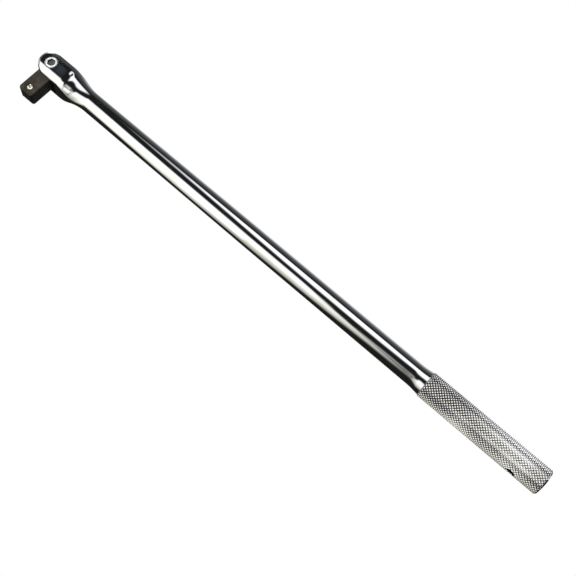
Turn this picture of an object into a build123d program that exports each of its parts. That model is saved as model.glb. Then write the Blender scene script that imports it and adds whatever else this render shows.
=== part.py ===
from build123d import *
import os
from math import atan, tan

# Flex-head breaker bar, 1/2 inch square drive, 457 mm class.
# Millimetres, +Z up. The origin is where the pivot, the bar and the drive axes cross.
# +X runs along the bar to the grip, the pivot lies along Z, and the drive is stored
# at right angles to the bar, pointing along -Y.

# Bar, yoke and grip
overall_length = 457.0
yoke_height = 19.6
yoke_width = 24.8
yoke_turned_diameter = 26.4
cheek_end_fillet = 1.2
neck_arc_start = 23.5
neck_arc_start_diameter = 21.0
neck_end = 38.0
shank_small_diameter = 15.4
shank_diameter = 16.6
shank_taper_end = 190.0
grip_length = 99.0
grip_diameter = 19.5
shoulder_length = 7.0
grip_start_chamfer = 0.6
grip_end_chamfer = 1.2
grip_end_dome = 0.9
hang_hole_diameter = 6.2
hang_hole_from_end = 22.0
hang_hole_countersink = 0.9

# Drive head
drive_square = 12.7
drive_reach = 27.7
drive_corner_fillet = 1.1
drive_end_chamfer = 1.4
tongue_diameter = 18.6
tongue_web_gap = 1.3

# Pivot screw
screw_head_diameter = 8.6
screw_head_height = 2.6
screw_head_proud = 0.5
screw_head_chamfer = 0.5
screw_body_diameter = 7.6
screw_thread_diameter = 6.4
screw_end_recess = 0.4
key_across_flats = 5.5
key_depth = 2.0
key_turn = 11  # degrees about the pivot
head_clearance = 0.1
running_clearance = 0.05

# Friction washers
washer_thickness = 0.6
washer_diameter = 16.4
washer_bore_clearance = 0.2
washer_side_gap = 0.05

# Friction plunger in the yoke
plunger_diameter = 5.0
plunger_length = 6.5
plunger_nose_height = 1.2
plunger_rim_gap = 0.02
plunger_bore_depth = 13.5
plunger_spring_diameter = 4.2
plunger_spring_wire = 0.6
plunger_spring_turns = 5

# Retaining ball in the square
ball_diameter = 5.5
ball_proud = 1.1
ball_from_end = 5.3
ball_bore_depth = 9.5
ball_lip_clearance = 0.1
ball_spring_diameter = 4.4
ball_spring_wire = 0.5
ball_spring_turns = 4
spring_end_gap = 0.05

# Derived sizes shared by more than one piece
tip_radius = yoke_height / 2
bar_end = overall_length - tip_radius
cheek_face = yoke_width / 2
half_square = drive_square / 2
tongue_radius = tongue_diameter / 2
slot_half_width = half_square + washer_thickness + 2 * washer_side_gap
slot_floor = tongue_radius + tongue_web_gap
screw_radius = screw_body_diameter / 2
head_seat = cheek_face + screw_head_proud - screw_head_height
plunger_tip = tongue_radius + plunger_rim_gap
plunger_bore_end = slot_floor + plunger_bore_depth
ball_y = -(drive_reach - ball_from_end)
ball_z = half_square + ball_proud - ball_diameter / 2
ball_bore_radius = ball_diameter / 2 + running_clearance
ball_bore_floor = half_square - ball_bore_depth


def cylinder_along_z(radius, low, high, x=0, y=0):
    return Pos(x, y, (low + high) / 2) * Cylinder(radius, high - low)


def cylinder_along_x(radius, low, high):
    return Pos((low + high) / 2, 0, 0) * Rot(0, 90, 0) * Cylinder(radius, high - low)


def coil_spring(outer_diameter, wire, turns, length):
    # round wire wound on +Z from the origin, the coil's ends level with 0 and length
    path = Helix(
        pitch=(length - wire) / turns,
        height=length - wire,
        radius=(outer_diameter - wire) / 2,
    )
    section = Plane(origin=path @ 0, z_dir=path % 0) * Circle(wire / 2)
    return Pos(0, 0, wire / 2) * sweep(section, path=path, is_frenet=True)


# Handle bar: one forging, turned, with the yoke's sides and cheeks milled flat
neck_drop = (neck_arc_start_diameter - shank_small_diameter) / 2
neck_run = neck_end - neck_arc_start
neck_slope = 2 * atan(neck_drop / neck_run)
cone_rise = (yoke_turned_diameter - neck_arc_start_diameter) / 2
cone_start = neck_arc_start - cone_rise / tan(neck_slope)
grip_start = bar_end - grip_length
shoulder_start = grip_start - shoulder_length
end_rim = grip_diameter / 2 - grip_end_chamfer
with BuildPart() as turned_blank:
    with BuildSketch():
        with BuildLine():
            Polyline(
                (neck_arc_start, neck_arc_start_diameter / 2),
                (cone_start, yoke_turned_diameter / 2),
                (-tip_radius, yoke_turned_diameter / 2),
                (-tip_radius, 0),
                (bar_end, 0),
            )
            ThreePointArc(
                (bar_end, 0),
                (bar_end - grip_end_dome / 4, end_rim / 2),
                (bar_end - grip_end_dome, end_rim),
            )
            Polyline(
                (bar_end - grip_end_dome, end_rim),
                (bar_end - grip_end_dome - grip_end_chamfer, grip_diameter / 2),
                (grip_start + grip_start_chamfer, grip_diameter / 2),
                (grip_start, grip_diameter / 2 - grip_start_chamfer),
                (shoulder_start, shank_diameter / 2),
                (shank_taper_end, shank_diameter / 2),
                (neck_end, shank_small_diameter / 2),
            )
            TangentArc(
                (neck_end, shank_small_diameter / 2),
                (neck_arc_start, neck_arc_start_diameter / 2),
                tangent=(-1, 0),
            )
        make_face()
    revolve(axis=Axis.X)
side_outline = Circle(tip_radius) + Pos(bar_end / 2, 0) * Rectangle(bar_end, yoke_height)
yoke_envelope = extrude(side_outline, cheek_face, both=True)
handle_bar = turned_blank.part & yoke_envelope
tip_rims = handle_bar.edges().filter_by(GeomType.CIRCLE).filter_by(
    lambda e: abs(abs(e.center().Z) - cheek_face) < 0.01 and e.center().X < 0
)
handle_bar = fillet(tip_rims, cheek_end_fillet)

slot_length = tip_radius + slot_floor
slot = Pos(slot_floor - slot_length / 2 - 1, 0, 0) * Box(
    slot_length + 2, 2 * yoke_height, 2 * slot_half_width
)
handle_bar -= slot
handle_bar -= cylinder_along_z(
    screw_head_diameter / 2 + head_clearance, head_seat, cheek_face + 1
)
handle_bar -= cylinder_along_z(screw_radius + running_clearance, 0, cheek_face)
thread_radius = screw_thread_diameter / 2 + running_clearance
handle_bar -= cylinder_along_z(thread_radius, -cheek_face - 1, 0)
handle_bar -= cylinder_along_x(
    plunger_diameter / 2 + running_clearance, 0, plunger_bore_end
)
hang_hole_x = bar_end - hang_hole_from_end
hang_radius = hang_hole_diameter / 2
mouth_radius = hang_radius + hang_hole_countersink
hang_drill = Cylinder(hang_radius, 2 * grip_diameter)
for side in (-1, 1):
    mouth = Cone(hang_radius, mouth_radius + hang_hole_countersink, 2 * hang_hole_countersink)
    flip = 0 if side > 0 else 180
    hang_drill += Rot(flip, 0, 0) * Pos(0, 0, grip_diameter / 2) * mouth
handle_bar -= Pos(hang_hole_x, 0, 0) * Rot(90, 0, 0) * hang_drill

# Drive head: round tongue and square drive in one piece
drive_bar = Pos(0, -drive_reach / 2, 0) * Box(drive_square, drive_reach, drive_square)
drive_bar = chamfer(drive_bar.faces().sort_by(Axis.Y)[0].edges(), drive_end_chamfer)
long_edges = drive_bar.edges().filter_by(Axis.Y)
drive_bar = fillet(long_edges, drive_corner_fillet)
drive_head = drive_bar + Cylinder(tongue_radius, drive_square)
drive_head -= cylinder_along_z(screw_radius + running_clearance, -drive_square, drive_square)
lip_radius = ((ball_diameter / 2) ** 2 - (half_square - ball_z) ** 2) ** 0.5
lip_radius += ball_lip_clearance
lip_height = ball_bore_radius - lip_radius
drive_head -= cylinder_along_z(
    ball_bore_radius, ball_bore_floor, half_square - lip_height, y=ball_y
)
drive_head -= Pos(0, ball_y, half_square - lip_height / 2) * Cone(
    ball_bore_radius, lip_radius, lip_height
)

# Pivot screw: socket head in the near cheek, plain body, thread in the far cheek
screw_top = head_seat + screw_head_height
screw_end = -cheek_face + screw_end_recess
screw_head = cylinder_along_z(screw_head_diameter / 2, head_seat, screw_top)
screw_head = chamfer(
    screw_head.edges().sort_by(Axis.Z)[-1], screw_head_chamfer
)
pivot_screw = screw_head + cylinder_along_z(screw_radius, -slot_half_width, head_seat)
pivot_screw += cylinder_along_z(screw_thread_diameter / 2, screw_end, -slot_half_width)
key_socket = extrude(
    RegularPolygon(key_across_flats / 2, 6, major_radius=False, rotation=key_turn), key_depth
)
pivot_screw -= Pos(0, 0, screw_top - key_depth) * key_socket

# Friction washers: one flat ring on each side of the tongue
washer_bore = screw_radius + washer_bore_clearance
washer_low = half_square + washer_side_gap
washer_near = cylinder_along_z(washer_diameter / 2, washer_low, washer_low + washer_thickness)
washer_near -= cylinder_along_z(washer_bore, 0, cheek_face)
washer_far = Pos(0, 0, -2 * washer_low - washer_thickness) * washer_near

# Friction plunger: round-nosed pin that bears on the tongue's rim
nose_radius = (plunger_nose_height**2 + (plunger_diameter / 2) ** 2) / (2 * plunger_nose_height)
plunger_end = plunger_tip + plunger_length
nose_ball = Pos(plunger_tip + nose_radius, 0, 0) * Sphere(nose_radius)
nose_end = plunger_tip + plunger_nose_height
friction_plunger = cylinder_along_x(plunger_diameter / 2, plunger_tip, nose_end) & nose_ball
friction_plunger += cylinder_along_x(plunger_diameter / 2, nose_end, plunger_end)

# Plunger spring: pushes the plunger from the bottom of its bore
plunger_spring_length = plunger_bore_end - plunger_end - 2 * spring_end_gap
plunger_spring = Pos(plunger_end + spring_end_gap, 0, 0) * Rot(0, 90, 0) * coil_spring(
    plunger_spring_diameter, plunger_spring_wire, plunger_spring_turns, plunger_spring_length
)

# Retaining ball and its spring
retaining_ball = Pos(0, ball_y, ball_z) * Sphere(ball_diameter / 2)
ball_spring_length = ball_z - ball_diameter / 2 - ball_bore_floor - 2 * spring_end_gap
ball_spring = Pos(0, ball_y, ball_bore_floor + spring_end_gap) * coil_spring(
    ball_spring_diameter, ball_spring_wire, ball_spring_turns, ball_spring_length
)

nodes = {
    "handle_bar": handle_bar,
    "drive_head": drive_head,
    "pivot_screw": pivot_screw,
    "washer_near": washer_near,
    "washer_far": washer_far,
    "friction_plunger": friction_plunger,
    "plunger_spring": plunger_spring,
    "retaining_ball": retaining_ball,
    "ball_spring": ball_spring,
}
os.makedirs("parts", exist_ok=True)
for name, solid in nodes.items():
    export_step(solid, "parts/" + name + ".step")
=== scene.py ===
from math import atan, cos, pi, radians, sin, tan

import bmesh
import bpy
import numpy as np
from mathutils import Matrix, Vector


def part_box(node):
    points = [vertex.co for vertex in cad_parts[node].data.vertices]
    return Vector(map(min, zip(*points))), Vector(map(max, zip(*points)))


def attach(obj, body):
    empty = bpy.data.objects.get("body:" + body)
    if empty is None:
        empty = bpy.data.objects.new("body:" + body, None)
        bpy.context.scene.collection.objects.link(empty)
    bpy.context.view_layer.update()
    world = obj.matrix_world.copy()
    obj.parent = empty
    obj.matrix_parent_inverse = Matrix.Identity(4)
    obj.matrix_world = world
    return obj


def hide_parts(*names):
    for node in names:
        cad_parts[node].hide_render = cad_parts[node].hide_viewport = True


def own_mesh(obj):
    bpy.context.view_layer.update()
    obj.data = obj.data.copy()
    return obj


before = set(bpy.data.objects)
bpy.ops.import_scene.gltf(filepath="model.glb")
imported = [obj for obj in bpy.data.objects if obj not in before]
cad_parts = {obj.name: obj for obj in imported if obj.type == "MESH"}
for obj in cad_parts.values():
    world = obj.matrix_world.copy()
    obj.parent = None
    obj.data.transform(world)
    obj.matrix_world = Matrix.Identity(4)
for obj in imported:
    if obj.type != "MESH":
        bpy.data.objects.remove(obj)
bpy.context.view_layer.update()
scene = bpy.context.scene
MM = 0.001

# Bar: one steel forging, turned between centres, its cheeks and sides milled flat and the
# slot cut for the head. Everything up to the grip is ground, polished and chrome plated.
bar_low, bar_high = (np.array(corner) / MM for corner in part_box("handle_bar"))
head_low, head_high = (np.array(corner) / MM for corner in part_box("drive_head"))
tip_radius = -bar_low[0]
bar_end = bar_high[0]
cheek_face = bar_high[2]
tongue_radius = head_high[0]
half_square = head_high[2]
yoke_radius = 13.2
neck_start, neck_start_radius = 23.5, 10.5
neck_end, neck_end_radius = 38.0, 7.7
shank_full, shank_radius = 190.0, 8.3
grip_radius, grip_chamfer, grip_length = 9.75, 0.6, 99.0
shoulder_length = 7.0
grip_start = bar_end - grip_length
shoulder_start = grip_start - shoulder_length
shank_joint = 44.0
washer_room, web_gap = 0.7, 1.3
slot_half = half_square + washer_room
slot_floor = tongue_radius + web_gap
screw_head_height = 2.6
head_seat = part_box("pivot_screw")[1].z / MM - screw_head_height
bore_radius, seat_radius, tapped_radius, tapped_mouth_radius = 3.85, 4.4, 3.25, 4.1
well_radius, well_end = 2.55, 24.1
side_fade_start, side_fade_slope = 30, 0.3
dimple_depth, dimple_x, dimple_y, dimple_width = 0.4, 17.4, 3.2, 1.15
forged_edge, milled_edge, slot_edge = 1.6, 1.0, 0.7
seat_edge, well_edge, drilled_edge = 0.25, 0.15, 0.1


def blend_low(a, b, k):
    # the lower of two fields, rounded over a width k
    h = np.clip(0.5 + 0.5 * (b - a) / k, 0, 1)
    return b + (a - b) * h - k * h * (1 - h)


def blend_high(a, b, k):
    return -blend_low(-a, -b, k)


def spaced(*stops):
    # grid stations through (place, step) stops, in mm
    stations = [np.array([stops[0][0]])]
    for (start, step), (end, _) in zip(stops, stops[1:]):
        count = max(1, round((end - start) / step))
        stations.append(start + (end - start) * np.arange(1, count + 1) / count)
    return np.concatenate(stations)


def skin(name, field, xs, ys, zs):
    # a closed quad mesh on the zero surface of a field, its points settled onto that surface
    stations = (xs, ys, zs)
    value = field(*np.meshgrid(xs, ys, zs, indexing="ij"))
    shape = np.array(value.shape) - 1
    total, count = np.zeros((*shape, 3)), np.zeros(shape)
    crossings = []
    for axis in range(3):
        size = value.shape[axis]
        low = np.take(value, range(size - 1), axis)
        high = np.take(value, range(1, size), axis)
        crossed = (low < 0) != (high < 0)
        part = np.where(crossed, low / np.where(crossed, low - high, 1), 0)
        spots = [stations[i] for i in range(3)]
        spots[axis] = stations[axis][:-1]
        places = np.stack(np.meshgrid(*spots, indexing="ij"), -1)
        gap = np.diff(stations[axis])
        places[..., axis] += part * gap.reshape([-1 if i == axis else 1 for i in range(3)])
        b, c = (axis + 1) % 3, (axis + 2) % 3
        for step_b in (0, 1):
            for step_c in (0, 1):
                cut = [slice(None)] * 3
                cut[b] = slice(step_b, shape[b] + step_b)
                cut[c] = slice(step_c, shape[c] + step_c)
                here = crossed[tuple(cut)]
                total[here] += places[tuple(cut)][here]
                count += here
        crossings.append((crossed, low < 0))
    number = np.full(shape, -1)
    full = count > 0
    number[full] = np.arange(full.sum())
    points = total[full] / count[full][:, None]
    faces = []
    for axis, (crossed, low_inside) in enumerate(crossings):
        b, c = (axis + 1) % 3, (axis + 2) % 3
        spot = np.argwhere(crossed)
        corners = []
        for back_b, back_c in ((1, 1), (0, 1), (0, 0), (1, 0)):
            cell = spot.copy()
            cell[:, b] -= back_b
            cell[:, c] -= back_c
            corners.append(number[tuple(cell.T)])
        quads = np.stack(corners, 1)
        outward = low_inside[tuple(spot.T)]
        quads[~outward] = quads[~outward][:, ::-1]
        faces.append(quads)
    faces = np.concatenate(faces)
    small, least_slope, longest_move, rounds = 0.01, 0.2, 0.25, 8

    def slope(p):
        return np.stack(
            [
                (field(*(p + small * e).T) - field(*(p - small * e).T)) / (2 * small)
                for e in np.eye(3)
            ],
            1,
        )

    for _ in range(rounds):
        g = slope(points)
        step = (field(*points.T) / np.maximum((g**2).sum(1), least_slope))[:, None] * g
        distance = np.linalg.norm(step, axis=1, keepdims=True)
        points -= step * np.minimum(1, longest_move / np.maximum(distance, 1e-9))
    normals = slope(points)
    normals /= np.linalg.norm(normals, axis=1, keepdims=True)
    mesh = bpy.data.meshes.new(name)
    mesh.from_pydata((points * MM).tolist(), [], faces.tolist())
    mesh.shade_smooth()
    mesh.normals_split_custom_set_from_vertices(normals.tolist())
    piece = bpy.data.objects.new(name, mesh)
    scene.collection.objects.link(piece)
    return piece


def turned_radius(x):
    # the bar's profile: yoke, cone, hollow neck, taper, shank and shoulder
    drop, run = neck_start_radius - neck_end_radius, neck_end - neck_start
    hollow = (run**2 + drop**2) / (2 * drop)
    neck = neck_end_radius + hollow - np.sqrt(np.maximum(hollow**2 - (neck_end - x) ** 2, 1))
    cone = neck_start_radius + (neck_start - x) * tan(2 * atan(drop / run))
    taper = np.interp(x, [neck_end, shank_full], [neck_end_radius, shank_radius])
    body = np.where(x < neck_start, cone, np.where(x < neck_end, neck, taper))
    climb = (grip_radius - grip_chamfer - shank_radius) / shoulder_length
    shoulder = shank_radius + (x - shoulder_start) * climb
    cone_edge, shoulder_edge = 1.2, 0.4
    return blend_high(blend_low(body, yoke_radius + 0 * x, cone_edge), shoulder, shoulder_edge)


def smooth_bar(x, y, z):
    # the turned blank, its cheeks and sides milled flat, then slotted, bored and tapped
    around = np.hypot(y, z)
    bar = around - turned_radius(x)
    side = np.where(x < 0, np.hypot(x, y), np.abs(y)) - tip_radius
    side = side - side_fade_slope * np.maximum(x - side_fade_start, 0)
    from_dimple = (x - dimple_x) ** 2 + (y - dimple_y) ** 2
    dimple = dimple_depth * np.exp(-from_dimple / (2 * dimple_width**2))
    flats = blend_high(side, np.abs(z) - cheek_face + dimple, forged_edge)
    bar = blend_high(bar, flats, milled_edge)
    tucked, overlap = 0.08 * np.clip(x - shank_joint, 0, 1), 2.0
    bar = np.maximum(bar + tucked, x - shank_joint - overlap)
    slot = blend_high(np.abs(z) - slot_half, x - slot_floor, milled_edge)
    bar = blend_high(bar, -slot, slot_edge)
    across = np.hypot(x, y)
    seat = np.maximum(across - seat_radius, head_seat - z)
    bar = blend_high(bar, -seat, seat_edge)
    bar = blend_high(bar, -np.maximum(across - bore_radius, -z), drilled_edge)
    tapped = np.maximum(across - tapped_radius, z)
    mouth = np.maximum(across + z + cheek_face - tapped_mouth_radius, z)
    bar = blend_high(bar, -blend_low(tapped, mouth, drilled_edge), drilled_edge)
    well = np.maximum(around - well_radius, x - well_end)
    return blend_high(bar, -well, well_edge)


yoke_step = 0.42
yoke = skin(
    "bar_yoke_and_neck",
    smooth_bar,
    spaced((-11, yoke_step), (47, 1)),
    spaced((-14, yoke_step), (14, 1)),
    spaced((-13.6, yoke_step), (13.6, 1)),
)


def finish_nodes(name):
    # a new material, its shader and a function that adds and links a node
    material = bpy.data.materials.new(name)
    material.use_nodes = True
    tree = material.node_tree
    shader = tree.nodes["Principled BSDF"]

    def add(kind, links=(), **settings):
        node = tree.nodes.new("ShaderNode" + kind)
        for key, setting in settings.items():
            if hasattr(node, key) and key not in node.inputs:
                setattr(node, key, setting)
            else:
                node.inputs[key.replace("_", " ")].default_value = setting
        for socket, source in dict(links).items():
            tree.links.new(source, node.inputs[socket])
        return node

    return material, shader, add, tree.links.new


def ramp_stops(node, stops):
    # colour ramp stops as (place, grey or colour)
    elements = node.color_ramp.elements
    while len(elements) < len(stops):
        elements.new(0.5)
    for element, (place, tone) in zip(elements, stops):
        element.position = place
        colour = (tone, tone, tone) if isinstance(tone, (int, float)) else tone
        element.color = (*colour, 1)
    return node


def chrome_plate():
    # bright chrome over a polished forging: faint polishing waves, hairlines and cloudy haze
    material, shader, add, link = finish_nodes("chrome_plate")
    place = add("TexCoord").outputs["Object"]
    stretched = add("Mapping", {"Vector": place})
    stretched.inputs["Scale"].default_value = (60, 900, 900)
    hairlines = add("TexNoise", {"Vector": stretched.outputs[0]}, Scale=1.0, Detail=3.0)
    haze = add("TexNoise", {"Vector": place}, Scale=70.0, Detail=4.0)
    waves = add("TexNoise", {"Vector": place}, Scale=45.0, Detail=1.0)
    haze_rough = ramp_stops(
        add("ValToRGB", {"Fac": haze.outputs["Fac"]}), [(0.35, 0.03), (0.75, 0.11)]
    )
    haze_tone = ramp_stops(
        add("ValToRGB", {"Fac": haze.outputs["Fac"]}),
        [(0.3, (0.83, 0.84, 0.86)), (0.75, (0.74, 0.74, 0.74))],
    )
    fine = add("Bump", {"Height": hairlines.outputs["Fac"]}, Strength=0.025, Distance=0.0002)
    rolling = {"Height": waves.outputs["Fac"], "Normal": fine.outputs[0]}
    broad = add("Bump", rolling, Strength=0.05, Distance=0.0015)
    link(haze_tone.outputs[0], shader.inputs["Base Color"])
    link(haze_rough.outputs[0], shader.inputs["Roughness"])
    link(broad.outputs[0], shader.inputs["Normal"])
    shader.inputs["Metallic"].default_value = 1.0
    return material


chrome = chrome_plate()
crease = radians(40)


def ring_skin(name, rings):
    # a closed piece through rings of points in mm, capped flat at both ends
    count, segments = rings.shape[:2]
    faces = []
    for i in range(count - 1):
        for j in range(segments):
            k = (j + 1) % segments
            faces.append(
                (i * segments + j, i * segments + k, (i + 1) * segments + k, (i + 1) * segments + j)
            )
    faces.append(tuple(reversed(range(segments))))
    faces.append(tuple(range((count - 1) * segments, count * segments)))
    mesh = bpy.data.meshes.new(name)
    mesh.from_pydata((rings.reshape(-1, 3) * MM).tolist(), [], faces)
    mesh.shade_smooth()
    mesh.set_sharp_from_angle(angle=crease)
    piece = bpy.data.objects.new(name, mesh)
    scene.collection.objects.link(piece)
    return piece


def lathe(name, outline, segments, roll):
    # a closed turned shape from (radius, height) pairs in mm; roll puts its axis along X or Y
    turns = [2 * pi * i / segments for i in range(segments)]
    rings = [[(r * cos(t), r * sin(t), h) for t in turns] for r, h in outline]
    return ring_skin(name, np.array(rings)[..., roll])


along_x, along_y = (2, 0, 1), (1, 2, 0)
shank_stations = spaced((shank_joint, 4), (shoulder_start - 4, 0.5), (grip_start + 1, 1))
shank_outline = [(float(turned_radius(x)), x) for x in shank_stations]
shank = lathe("bar_shank", shank_outline, 144, along_x)
for part in (yoke, shank):
    part.data.materials.append(chrome)
    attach(part, "bar")
    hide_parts("handle_bar")

# Grip: the end of the same forging, rolled with a diamond knurl of two crossing sets of
# grooves, its ends chamfered, and plated satin. A hang hole is drilled through near its end.
knurl_starts, knurl_pitch, knurl_depth, flank_share = 26, 2.42, 0.62, 0.4
samples_per_pitch = 6
end_chamfer, end_dome = 1.2, 0.9
knurl_end = bar_end - end_dome
columns = knurl_starts * samples_per_pitch
rows = round((knurl_end - grip_start) / knurl_pitch * samples_per_pitch)


def knurl_tree():
    # a grid rolled into a tube, lowered wherever it lies in a groove of either hand
    tree = bpy.data.node_groups.new("diamond_knurl", "GeometryNodeTree")
    face = tree.interface
    sizes = {}
    for name, kind in (
        ("Start", "Float"),
        ("Length", "Float"),
        ("Crest Radius", "Float"),
        ("Groove Depth", "Float"),
        ("Flank Share", "Float"),
        ("Axial Pitch", "Float"),
        ("Starts", "Float"),
        ("Start Chamfer", "Float"),
        ("End Chamfer", "Float"),
        ("Rows", "Int"),
        ("Columns", "Int"),
        ("Finish", "Material"),
    ):
        socket = face.new_socket(name, in_out="INPUT", socket_type="NodeSocket" + kind)
        sizes[name] = socket.identifier
    face.new_socket("Geometry", in_out="OUTPUT", socket_type="NodeSocketGeometry")
    given = tree.nodes.new("NodeGroupInput").outputs

    def feed(node, values):
        for socket, value in zip(node.inputs, values):
            if isinstance(value, bpy.types.NodeSocket):
                tree.links.new(value, socket)
            else:
                socket.default_value = value
        return node

    def calc(operation, *values):
        node = tree.nodes.new("ShaderNodeMath")
        node.operation = operation
        return feed(node, values).outputs[0]

    def made(kind, **links):
        node = tree.nodes.new("GeometryNode" + kind)
        for name, value in links.items():
            socket = node.inputs[name.replace("_", " ")]
            if isinstance(value, bpy.types.NodeSocket):
                tree.links.new(value, socket)
            else:
                socket.default_value = value
        return node

    grid = made(
        "MeshGrid",
        Size_X=given["Length"],
        Size_Y=2 * pi,
        Vertices_X=calc("ADD", given["Rows"], 1),
        Vertices_Y=calc("ADD", given["Columns"], 1),
    )
    split = tree.nodes.new("ShaderNodeSeparateXYZ")
    tree.links.new(made("InputPosition").outputs[0], split.inputs[0])
    along = calc("ADD", split.outputs[0], calc("MULTIPLY", given["Length"], 0.5))
    angle = calc("ADD", split.outputs[1], pi)
    travel = calc("DIVIDE", along, given["Axial Pitch"])
    turn = calc("DIVIDE", calc("MULTIPLY", angle, given["Starts"]), 2 * pi)

    def from_groove(lead):
        # distance from the nearest groove of one hand, 0 in it to 0.5 midway
        above_zero = 1000.0001
        part_turn = calc("FRACT", calc("ADD", lead, above_zero))
        return calc("SUBTRACT", 0.5, calc("ABSOLUTE", calc("SUBTRACT", part_turn, 0.5)))

    nearest = calc(
        "MINIMUM",
        from_groove(calc("ADD", travel, turn)),
        from_groove(calc("SUBTRACT", travel, turn)),
    )
    rise = calc("MINIMUM", calc("DIVIDE", nearest, given["Flank Share"]), 1.0)
    sunk = calc("SUBTRACT", 1.0, rise)
    cut = calc("MULTIPLY", sunk, given["Groove Depth"])
    crest = calc("SUBTRACT", given["Crest Radius"], cut)
    from_end = calc("SUBTRACT", given["Length"], along)
    start_rim = calc("SUBTRACT", given["Crest Radius"], given["Start Chamfer"])
    end_rim = calc("SUBTRACT", given["Crest Radius"], given["End Chamfer"])
    start_limit = calc("ADD", start_rim, along)
    end_limit = calc("ADD", end_rim, from_end)
    radius = calc("MINIMUM", crest, calc("MINIMUM", start_limit, end_limit))
    joined = tree.nodes.new("ShaderNodeCombineXYZ")
    feed(
        joined,
        (
            calc("ADD", along, given["Start"]),
            calc("MULTIPLY", radius, calc("COSINE", angle)),
            calc("MULTIPLY", radius, calc("SINE", angle)),
        ),
    )
    # the groove depth kept on each point, which the knurl's finish uses to paint shade into the
    # groove roots
    keep = tree.nodes.new("GeometryNodeStoreNamedAttribute")
    keep.data_type, keep.domain = "FLOAT", "POINT"
    tree.links.new(grid.outputs["Mesh"], keep.inputs["Geometry"])
    keep.inputs["Name"].default_value = "groove"
    tree.links.new(sunk, keep.inputs["Value"])
    placed = made("SetPosition", Geometry=keep.outputs[0], Position=joined.outputs[0])
    welded = made("MergeByDistance", Geometry=placed.outputs[0], Distance=0.001 * MM)
    whole = made("RealizeInstances", Geometry=welded.outputs[0])
    dressed = made("SetMaterial", Geometry=whole.outputs[0], Material=given["Finish"])
    result = tree.nodes.new("NodeGroupOutput")
    tree.links.new(dressed.outputs[0], result.inputs[0])
    return tree, sizes


def satin_knurl():
    # satin chrome: bright on the crests, with painted shade and some grime darkening the root of each
    # groove, patchy by a smear noise
    material, shader, add, link = finish_nodes("satin_knurl")
    place = add("TexCoord").outputs["Object"]
    groove = add("Attribute", attribute_name="groove")
    haze = add("TexNoise", {"Vector": place}, Scale=140.0, Detail=4.0)
    smear = add("TexNoise", {"Vector": place}, Scale=25.0, Detail=2.0)
    # painted shade with some grime: darker where the groove is deep, patchy where the smear noise is
    # high
    groove_shade_and_grime = add("Math", {0: groove.outputs["Fac"], 1: smear.outputs["Fac"]}, operation="MULTIPLY")
    tone = ramp_stops(
        add("ValToRGB", {"Fac": groove_shade_and_grime.outputs[0]}),
        [(0.0, (0.93, 0.925, 0.92)), (0.17, (0.82, 0.805, 0.80)), (0.37, (0.05, 0.045, 0.045))],
    )
    rough = ramp_stops(add("ValToRGB", {"Fac": haze.outputs["Fac"]}), [(0.3, 0.10), (0.8, 0.22)])
    grain = add("Bump", {"Height": haze.outputs["Fac"]}, Strength=0.15, Distance=0.0003)
    link(tone.outputs[0], shader.inputs["Base Color"])
    link(rough.outputs[0], shader.inputs["Roughness"])
    link(grain.outputs[0], shader.inputs["Normal"])
    shader.inputs["Metallic"].default_value = 1.0
    return material


knurl_group, knurl_sizes = knurl_tree()
satin = satin_knurl()
blank = bpy.data.objects.new("knurl_blank", bpy.data.meshes.new("knurl_blank"))
scene.collection.objects.link(blank)
roll = blank.modifiers.new("knurl", "NODES")
roll.node_group = knurl_group
for name, value in {
    "Start": grip_start * MM,
    "Length": (knurl_end - grip_start) * MM,
    "Crest Radius": grip_radius * MM,
    "Groove Depth": knurl_depth * MM,
    "Flank Share": flank_share,
    "Axial Pitch": knurl_pitch * MM,
    "Starts": float(knurl_starts),
    "Start Chamfer": grip_chamfer * MM,
    "End Chamfer": end_chamfer * MM,
    "Rows": rows,
    "Columns": columns,
    "Finish": satin,
}.items():
    roll[knurl_sizes[name]] = value
graph = bpy.context.evaluated_depsgraph_get()
grip_mesh = bpy.data.meshes.new_from_object(blank.evaluated_get(graph), depsgraph=graph)
bpy.data.objects.remove(blank)


def close_ends(mesh):
    # the flat face at the shoulder and the domed end, welded to the knurl's two rims
    work = bmesh.new()
    work.from_mesh(mesh)
    middle = (grip_start + knurl_end) / 2 * MM
    rim_edges = [edge for edge in work.edges if edge.is_boundary]
    shoulder_rim = [edge for edge in rim_edges if edge.verts[0].co.x < middle]
    bmesh.ops.contextual_create(work, geom=shoulder_rim)
    ring, last = [edge for edge in rim_edges if edge.verts[0].co.x > middle], 1.0
    for part in dome_rings:
        grown = bmesh.ops.extrude_edge_only(work, edges=ring)["geom"]
        ring = [item for item in grown if isinstance(item, bmesh.types.BMEdge)]
        for vert in {v for edge in ring for v in edge.verts}:
            vert.co.y *= part / last
            vert.co.z *= part / last
            vert.co.x = (knurl_end + end_dome * (1 - part**2)) * MM
        last = part
    bmesh.ops.contextual_create(work, geom=ring)
    bmesh.ops.recalc_face_normals(work, faces=work.faces)
    work.to_mesh(mesh)
    work.free()


dome_rings = (0.96, 0.85, 0.7, 0.52, 0.34, 0.17, 0.04)
close_ends(grip_mesh)
grip = bpy.data.objects.new("bar_knurled_grip", grip_mesh)
scene.collection.objects.link(grip)

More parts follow.
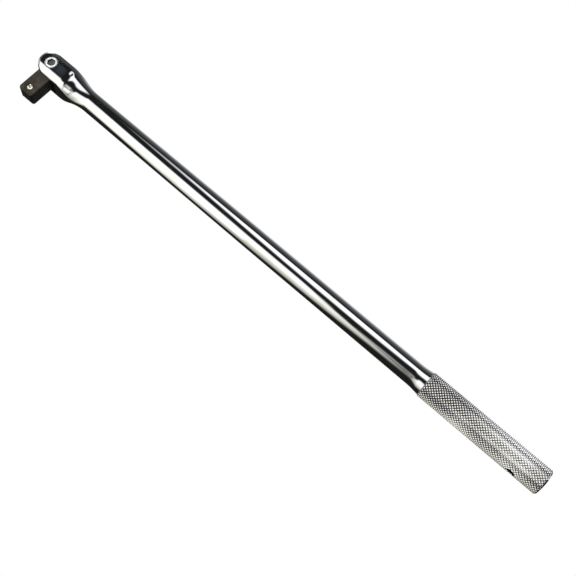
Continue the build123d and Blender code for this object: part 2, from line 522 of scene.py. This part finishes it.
hole_radius, hole_from_end, mouth_depth, mouth_spread = 3.1, 22.0, 1.0, 0.9
reach = 2.6
half_drill = [
    (hole_radius, grip_radius - mouth_depth),
    (hole_radius + mouth_spread, grip_radius),
    (hole_radius + mouth_depth + reach, grip_radius + reach),
]
drill_outline = [(radius, -height) for radius, height in reversed(half_drill)] + half_drill
drill = lathe("hang_hole_drill", drill_outline, 64, along_y)
off_the_grooves = Matrix.Rotation(radians(1.7), 4, "Y")
hole_place = Matrix.Translation(((bar_end - hole_from_end) * MM, 0, 0))
drill.data.transform(hole_place @ off_the_grooves)
drill.data.materials.append(chrome)
bore = grip.modifiers.new("hang_hole", "BOOLEAN")
bore.object, bore.operation, bore.solver = drill, "DIFFERENCE", "EXACT"
bore.material_mode = "TRANSFER"
graph = bpy.context.evaluated_depsgraph_get()
drilled = bpy.data.meshes.new_from_object(grip.evaluated_get(graph), depsgraph=graph)
grip.modifiers.clear()
grip.data = drilled
bpy.data.objects.remove(drill)
drilled.shade_smooth()
knurl_crease = radians(24)
drilled.set_sharp_from_angle(angle=knurl_crease)
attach(grip, "bar")
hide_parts("handle_bar")

# Drive head: one forging with a round tongue between the cheeks and the square that takes
# the socket, hardened and blacked. The ball's bore is staked over in its front face.
drive_reach = -head_low[1]
ball_low, ball_high = (np.array(corner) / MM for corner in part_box("retaining_ball"))
ball_centre = (ball_low + ball_high) / 2
ball_radius = (ball_high[2] - ball_low[2]) / 2
square_corner, square_chamfer, square_edge, tongue_edge = 1.1, 1.4, 0.5, 0.6
ground_edge, pivot_bore_edge, staked_edge = 0.1, 0.3, 0.12
ball_bore_radius, ball_bore_depth, lip_radius, lip_height = 2.8, 9.5, 2.32, 0.5
stake_radius, stake_rise, stake_width = 3.35, 0.1, 0.42
diagonal = 0.7071


def drive_field(x, y, z):
    # the square with its chamfered end, the tongue, the pivot bore and the staked ball bore
    beyond_x = np.abs(x) - half_square + square_corner
    beyond_z = np.abs(z) - half_square + square_corner
    outside = np.hypot(np.maximum(beyond_x, 0), np.maximum(beyond_z, 0))
    square = outside + np.minimum(np.maximum(beyond_x, beyond_z), 0) - square_corner
    end = -drive_reach - y
    chamfer = (square + end + square_chamfer) * diagonal
    square = blend_high(blend_high(square, end, ground_edge), chamfer, square_edge)
    square = np.maximum(square, y)
    from_pivot = np.hypot(x, y)
    tongue = blend_high(from_pivot - tongue_radius, np.abs(z) - half_square, tongue_edge)
    head = blend_low(square, tongue, square_edge)
    head = blend_high(head, bore_radius - from_pivot, pivot_bore_edge)
    from_ball = np.hypot(x, y - ball_centre[1])
    lip = np.where(z > half_square - lip_height, lip_radius + (half_square - z), ball_bore_radius)
    bore = np.maximum(from_ball - lip, half_square - ball_bore_depth - z)
    head = blend_high(head, -bore, ground_edge)
    stake = np.hypot(from_ball - stake_radius, z - half_square - stake_rise) - stake_width
    return blend_high(head, -stake, staked_edge)


head_step, fine_step, margin = 0.27, 0.2, 0.6
head_piece = skin(
    "drive_head_square_and_tongue",
    drive_field,
    spaced((-9.9, head_step), (9.9, 1)),
    spaced((-drive_reach - margin, head_step), (9.9, 1)),
    spaced((-half_square - margin, 0.33), (half_square - 1, fine_step), (half_square + margin, 1)),
)


def black_oxide():
    # oiled black oxide on forged steel: brown-black, mottled, with fine grinding marks
    material, shader, add, link = finish_nodes("black_oxide_steel")
    place = add("TexCoord").outputs["Object"]
    mottle = add("TexNoise", {"Vector": place}, Scale=160.0, Detail=6.0, Roughness=0.65)
    grain = add("Mapping", {"Vector": place})
    grain.inputs["Scale"].default_value = (3000, 250, 3000)
    marks = add("TexNoise", {"Vector": grain.outputs[0]}, Scale=1.0, Detail=2.0)
    tone = ramp_stops(
        add("ValToRGB", {"Fac": mottle.outputs["Fac"]}),
        [(0.3, (0.018, 0.015, 0.012)), (0.55, (0.036, 0.031, 0.025)), (0.75, (0.062, 0.053, 0.043))],
    )
    rough = ramp_stops(add("ValToRGB", {"Fac": mottle.outputs["Fac"]}), [(0.3, 0.46), (0.7, 0.66)])
    scored = add("Bump", {"Height": marks.outputs["Fac"]}, Strength=0.12, Distance=0.0002)
    scale = {"Height": mottle.outputs["Fac"], "Normal": scored.outputs[0]}
    rolled = add("Bump", scale, Strength=0.15, Distance=0.0004)
    link(tone.outputs[0], shader.inputs["Base Color"])
    link(rough.outputs[0], shader.inputs["Roughness"])
    link(rolled.outputs[0], shader.inputs["Normal"])
    shader.inputs["Specular IOR Level"].default_value = 0.15
    return material


head_piece.data.materials.append(black_oxide())
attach(head_piece, "head")
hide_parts("drive_head")

# Pivot screw: turned and plated, its head with a six-sided key socket sunk in the near
# cheek, its plain body through the washers and the tongue, its end flush in the far cheek.
screw_low, screw_high = (np.array(corner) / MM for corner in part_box("pivot_screw"))
screw_top = screw_high[2]
screw_head_radius, screw_radius, thread_radius = 4.3, 3.8, 3.2
screw_edge, tip_edge, socket_edge, lap = 0.3, 0.8, 0.12, 0.2
rim_slope, rim_chamfer = 0.72, 0.4
key_half, key_depth, key_directions = 2.75, 2.0, (41, 101, 161)
drill_point_radius, drill_point_slope = 2.9, 0.35
flare_radius, flare_depth, flare_slope = 3.25, 0.6, 0.7


def screw_field(x, y, z):
    # the chamfered head, plain body and rounded thread end, less the six-sided key socket
    across = np.hypot(x, y)
    rim = across - screw_head_radius
    head = blend_high(rim, np.maximum(z - screw_top, head_seat - z), screw_edge)
    head = blend_high(head, (rim + z - screw_top) * rim_slope + rim_chamfer, screw_edge)
    body = np.maximum(across - screw_radius, np.maximum(-slot_half - z, z - head_seat - lap))
    thread = blend_high(across - thread_radius, screw_low[2] - z, tip_edge)
    thread = np.maximum(thread, z + slot_half - lap)
    screw = np.minimum(blend_low(head, body, ground_edge), thread)
    flats = [np.abs(x * cos(t) + y * sin(t)) for t in np.radians(key_directions)]
    key = np.maximum(np.maximum(flats[0], flats[1]), flats[2]) - key_half
    floor = (across - drill_point_radius) * drill_point_slope + screw_top - key_depth - z
    socket = np.maximum(key, floor)
    flare = (across - flare_radius) * flare_slope - (z - screw_top) * flare_slope
    socket = blend_low(socket, np.maximum(flare, screw_top - flare_depth - z), ground_edge)
    return blend_high(screw, -socket, socket_edge)


screw_step = 0.2
screw = skin(
    "pivot_screw_socket_head",
    screw_field,
    spaced((-4.7, screw_step), (4.7, 1)),
    spaced((-4.7, screw_step), (4.7, 1)),
    spaced((screw_low[2] - 0.5, 0.35), (head_seat - 0.5, screw_step), (screw_top + 0.5, 1)),
)


def screw_plate():
    # satin chrome on the head, darker deeper inside the key socket
    material, shader, add, link = finish_nodes("screw_plate")
    place = add("TexCoord").outputs["Object"]
    parts = add("SeparateXYZ", {0: place})
    sunk = add("MapRange", {"Value": parts.outputs[2]})
    # darker with depth: full tone above 0.4 mm into the key socket, darkest from 0.9 mm down
    dark_below, bright_above = screw_top * MM - 0.0009, screw_top * MM - 0.0004
    for socket, value in zip(sunk.inputs[1:5], (dark_below, bright_above, 0, 1)):
        socket.default_value = value
    haze = add("TexNoise", {"Vector": place}, Scale=400.0, Detail=4.0)
    tone = ramp_stops(
        add("ValToRGB", {"Fac": sunk.outputs[0]}),
        [(0.0, (0.10, 0.105, 0.095)), (1.0, (0.97, 0.97, 0.96))],
    )
    rough = ramp_stops(add("ValToRGB", {"Fac": haze.outputs["Fac"]}), [(0.3, 0.50), (0.8, 0.60)])
    turned = add("Bump", {"Height": haze.outputs["Fac"]}, Strength=0.1, Distance=0.0002)
    link(tone.outputs[0], shader.inputs["Base Color"])
    link(rough.outputs[0], shader.inputs["Roughness"])
    link(turned.outputs[0], shader.inputs["Normal"])
    shader.inputs["Metallic"].default_value = 0.55
    return material


screw.data.materials.append(screw_plate())
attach(screw, "bar")
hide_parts("pivot_screw")

# Retaining ball: a hardened steel bearing ball held by the staked lip, bright where sockets
# have rubbed it.
ball_step, ball_reach = 0.25, 3


def ball_field(x, y, z):
    return np.sqrt(x**2 + (y - ball_centre[1]) ** 2 + (z - ball_centre[2]) ** 2) - ball_radius


ball = skin(
    "retaining_ball_polished",
    ball_field,
    spaced((-ball_reach, ball_step), (ball_reach, 1)),
    spaced((ball_centre[1] - ball_reach, ball_step), (ball_centre[1] + ball_reach, 1)),
    spaced((ball_centre[2] - ball_reach, ball_step), (ball_centre[2] + ball_reach, 1)),
)


def bright_steel(name, tone, dark, rough_low, rough_high):
    # plain steel or bronze with a cloudy finish and faint scratches
    material, shader, add, link = finish_nodes(name)
    place = add("TexCoord").outputs["Object"]
    cloud = add("TexNoise", {"Vector": place}, Scale=500.0, Detail=4.0)
    cloudy = {"Fac": cloud.outputs["Fac"]}
    blend = ramp_stops(add("ValToRGB", cloudy), [(0.3, tone), (0.75, dark)])
    rough = ramp_stops(add("ValToRGB", cloudy), [(0.3, rough_low), (0.75, rough_high)])
    scratch = add("Bump", {"Height": cloud.outputs["Fac"]}, Strength=0.08, Distance=0.0001)
    link(blend.outputs[0], shader.inputs["Base Color"])
    link(rough.outputs[0], shader.inputs["Roughness"])
    link(scratch.outputs[0], shader.inputs["Normal"])
    shader.inputs["Metallic"].default_value = 1.0
    return material


ball_steel = bright_steel("ball_steel", (0.90, 0.88, 0.80), (0.80, 0.77, 0.68), 0.12, 0.26)
ball.data.materials.append(ball_steel)
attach(ball, "ball")
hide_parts("retaining_ball")

# Coil springs: drawn wire, one behind the plunger and one under the ball, each standing on the bottom
# of its bore.
wire = bright_steel("spring_wire", (0.35, 0.35, 0.36), (0.20, 0.20, 0.21), 0.3, 0.5)
along_z = (0, 1, 2)


def coil_spring(name, node, wire_width, turns, roll, start):
    # round wire wound right-handed from the start angle, as long and as wide as the node
    low, high = (np.array(corner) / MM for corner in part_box(node))
    length = (high - low)[roll.index(2)]
    radius = (high[1] - low[1] - wire_width) / 2
    sections_per_turn, corners = 32, 12
    turned = np.linspace(0, 2 * pi * turns, sections_per_turn * turns + 1)
    lead = (length - wire_width) / (2 * pi * turns)
    across, side, level = np.cos(turned + start), np.sin(turned + start), 0 * turned
    centre = np.stack([radius * across, radius * side, lead * turned - (length - wire_width) / 2], -1)
    inward = np.stack([-across, -side, level], -1)
    ahead = np.stack([-radius * side, radius * across, lead + level], -1)
    upward = np.cross(ahead, inward) / np.hypot(radius, lead)
    around = np.linspace(0, 2 * pi, corners, endpoint=False)[:, None]
    section = np.cos(around) * inward[:, None] + np.sin(around) * upward[:, None]
    rings = centre[:, None] + wire_width / 2 * section
    return ring_skin(name, rings[..., roll] + (low + high) / 2), low * MM, high * MM, length


plunger_wire, plunger_turns = 0.6, 5
spring, low, high, length = coil_spring(
    "plunger_coil_spring", "plunger_spring", plunger_wire, plunger_turns, along_x, -pi / 2
)
spring.data.materials.append(wire)
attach(spring, "bar")
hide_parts("plunger_spring")
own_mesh(spring)

ball_wire, ball_turns = 0.5, 4
spring, low, high, length = coil_spring(
    "ball_coil_spring", "ball_spring", ball_wire, ball_turns, along_z, 0
)
spring.data.materials.append(wire)
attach(spring, "head")
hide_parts("ball_spring")
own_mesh(spring)

# Hidden workings: bronze washers each side of the tongue and the hardened plunger in the
# root of the yoke. They keep the frame's own shapes.
bronze = bright_steel("washer_bronze", (0.62, 0.42, 0.22), (0.45, 0.29, 0.15), 0.3, 0.5)
hardened = bright_steel("plunger_steel", (0.72, 0.72, 0.70), (0.55, 0.55, 0.54), 0.2, 0.35)
for node, metal in {
    "washer_near": bronze,
    "washer_far": bronze,
    "friction_plunger": hardened,
}.items():
    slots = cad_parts[node].data.materials
    slots.clear()
    slots.append(metal)

# Studio: a plain white sweep under the bar, soft lights and dark surroundings for the
# chrome to mirror, and the camera.


def glowing(name, points, faces, glow):
    # a staged surface that only gives off light, each point with its own colour
    mesh = bpy.data.meshes.new(name)
    mesh.from_pydata(points.reshape(-1, 3).tolist(), [], faces)
    shine = mesh.attributes.new("glow", "FLOAT_COLOR", "POINT")
    shine.data.foreach_set("color", np.append(glow, np.ones((*glow.shape[:-1], 1)), -1).ravel())
    sheet = bpy.data.objects.new(name, mesh)
    scene.collection.objects.link(sheet)
    material = bpy.data.materials.new(name)
    material.use_nodes = True
    nodes, links = material.node_tree.nodes, material.node_tree.links
    nodes.remove(nodes["Principled BSDF"])
    source = nodes.new("ShaderNodeAttribute")
    source.attribute_name = "glow"
    lamp = nodes.new("ShaderNodeEmission")
    links.new(source.outputs["Color"], lamp.inputs["Color"])
    links.new(lamp.outputs[0], nodes["Material Output"].inputs["Surface"])
    mesh.materials.append(material)
    return sheet


floor_z, floor_half = -cheek_face * MM, 8
floor_plan = ((-1, -1), (1, -1), (1, 1), (-1, 1))
floor_corners = np.array([(x * floor_half, y * floor_half, floor_z) for x, y in floor_plan])
floor = glowing("white_sweep", floor_corners, [(0, 1, 2, 3)], np.ones((4, 3)))
floor.visible_glossy = floor.visible_diffuse = floor.visible_shadow = False


def rise(value, middle, width):
    # 0 to 1 across an edge of the given softness
    t = np.clip((value - middle) / width + 0.5, 0, 1)
    return t * t * (3 - 2 * t)


def strip(value, low, high, low_soft, high_soft):
    return rise(value, low, low_soft) * (1 - rise(value, high, high_soft))


def curved_sheet(name, along, angle, away, glow):
    # a glowing sheet bent round the bar's axis, seen only in reflections
    spread = np.radians(angle)
    points = np.stack([along, -away * np.sin(spread), away * np.cos(spread)], -1)
    rows, columns = angle.shape
    faces = [
        (i * columns + j, i * columns + j + 1, (i + 1) * columns + j + 1, (i + 1) * columns + j)
        for i in range(rows - 1)
        for j in range(columns - 1)
    ]
    sheet = glowing(name, points, faces, glow)
    sheet.visible_camera = sheet.visible_diffuse = False


def light_tent():
    # a cloth tube round the bar, its lit strips placed by angle from overhead toward the front;
    # station is the place on the bar, in mm, that mirrors each place along the tube
    turn = np.arange(-180, 181, 1.5)
    reach = spaced((-2.2, 0.08), (-0.72, 0.01), (-0.4, 0.04), (2.8, 1))
    angle, along = np.meshgrid(turn, reach)
    tube_start, tube_per_metre_of_bar = -0.54, 2.433
    station = (along - tube_start) / tube_per_metre_of_bar / MM

    # the broad front strip, split in two thin lines where it dies away by the shoulder
    low_places = [0, 40, 60, 100, 160, 200, 240, 260, 280, 300, 320, 340]
    low_edges = [6, 7, 12, 19, 25, 29, 30, 36, 50, 44, 34, 32]
    front_low = np.interp(station, low_places, low_edges)
    high_places = [0, 40, 100, 140, 200, 260, 300, 340]
    high_edges = [88, 94, 112, 120, 118, 106, 82, 72]
    front_high = np.interp(station, high_places, high_edges)
    peak_places, peaks = [255, 280, 300, 320, 345, 352], [1.35, 0.95, 0.80, 0.42, 0.05, 1.2]
    front_peak = np.interp(station, peak_places, peaks)
    under = 0.35 * rise(angle, 92, 40)
    toward_grip = 0.32 * rise(station, 160, 120) * rise(angle, 72, 26)
    front = front_peak * (1 - under - toward_grip) * strip(angle, front_low, front_high, 16, 24)
    between_lines = 0.7 * rise(-abs(angle - 51), -5, 6) * rise(station, 305, 30)
    front = front * np.where(station < 330, 1 - between_lines, 1)

    # the narrow strip behind overhead, widening toward the grip
    back_places = [80, 100, 140, 180, 220, 260, 300, 330, 350]
    back_edges = [-36, -32, -24, -16, -8, -5, -6, -15, -22]
    back_high = np.interp(station, back_places, back_edges)
    back_peak = np.interp(station, [70, 100, 125, 160], [0.0, 0.7, 1.0, 1.4])
    back = back_peak * strip(angle, -42.5, back_high, 13, 20)

    # the faint light behind the bar that draws its upper rim
    rim_places, rim_peaks = [10, 60, 100, 140, 345, 352], [0.14, 0.45, 0.6, 0.72, 0.72, 0.02]
    rim = np.interp(station, rim_places, rim_peaks) * (1 - rise(angle, -112, 62))
    rim = rim + 0.055 * strip(angle, -100, -64, 30, 14)
    glow = 0.014 + front + back + rim

    # beyond each end of the bar the tube is lit for the yoke and for the knurl's flanks
    near_head = np.where(angle < -38, 0.59, 0.68)
    head_end = rise(-along, near_head, 0.06) * (1 - rise(-along, 1.15, 0.3))
    grip_end = rise(along, 0.75, 0.3)
    glow = glow * (1 - head_end - grip_end)
    glow = glow + head_end * 1.7 * strip(angle, -150, -38, 30, 10)
    glow = glow + head_end * 0.25 * strip(angle, -38, 92, 10, 20)
    glow = glow + grip_end * 1.5 * strip(angle, -116, 132, 34, 20)

    # a bluish patch over the cheek, a warm front and a faintly cool back
    tone = np.stack([glow, glow, glow], -1)
    patch = strip(station, 5, 12, 5, 5) * strip(angle, -28, -8, 10, 10)
    tone = tone + patch[..., None] * np.array([0.045, 0.06, 0.075])
    front_tint = rise(angle, 55, 50)[..., None] * np.array([0.005, 0.0, 0.12])
    back_tint = rise(-angle, 20, 40)[..., None] * np.array([0.05, 0.02, 0.0])
    tone = tone * (1 - front_tint - back_tint)
    curved_sheet("light_tent", along, angle, tent_radius, tone)


tent_radius, card_radius = 1.0, 0.2
light_tent()


def card(name, angles, places, glow):
    # a white card close over the bar
    angle, along = np.meshgrid(angles, places)
    curved_sheet(name, along, angle, card_radius, np.full((*angle.shape, 3), glow))


# One card lights the knurl's flanks that face back along the bar, the other the neck's hollow.
card("knurl_card", np.arange(-40, -15, 2.0), np.arange(0.12, 0.331, 0.03), 1.4)
card("neck_card", np.arange(52, 93, 4.0), np.arange(0.06, 0.141, 0.02), 1.3)

# A soft box overhead and to the left lights what the tent only gleams on.
soft_light = bpy.data.lights.new("overhead_softbox", "AREA")
overhead = bpy.data.objects.new("overhead_softbox", soft_light)
scene.collection.objects.link(overhead)
overhead.data.size, overhead.data.energy = 0.5, 17
overhead.location = (-0.35, -0.1, 0.9)
overhead.rotation_euler = (-overhead.location).to_track_quat("-Z", "Y").to_euler()
overhead.visible_glossy = False

world = bpy.data.worlds.new("studio")
scene.world = world
world.use_nodes = True
sky = world.node_tree.nodes["Background"]
path = world.node_tree.nodes.new("ShaderNodeLightPath")
shade = world.node_tree.nodes.new("ShaderNodeMix")
shade.data_type = "RGBA"
shade.inputs["A"].default_value = (0.06, 0.06, 0.06, 1)
shade.inputs["B"].default_value = (1, 1, 1, 1)
world.node_tree.links.new(path.outputs["Is Camera Ray"], shade.inputs["Factor"])
world.node_tree.links.new(shade.outputs["Result"], sky.inputs["Color"])
scene.view_settings.view_transform = "Standard"

camera = bpy.data.objects.new("camera", bpy.data.cameras.new("camera"))
scene.collection.objects.link(camera)
camera.location = (0.37659, -0.22626, 0.6602)
camera.rotation_euler = [radians(turn) for turn in (21.0345, -3.2292, 41.3954)]
camera.data.sensor_width, camera.data.lens = 36, 65.3
camera.data.clip_start, camera.data.clip_end = 0.01, 50
scene.camera = camera
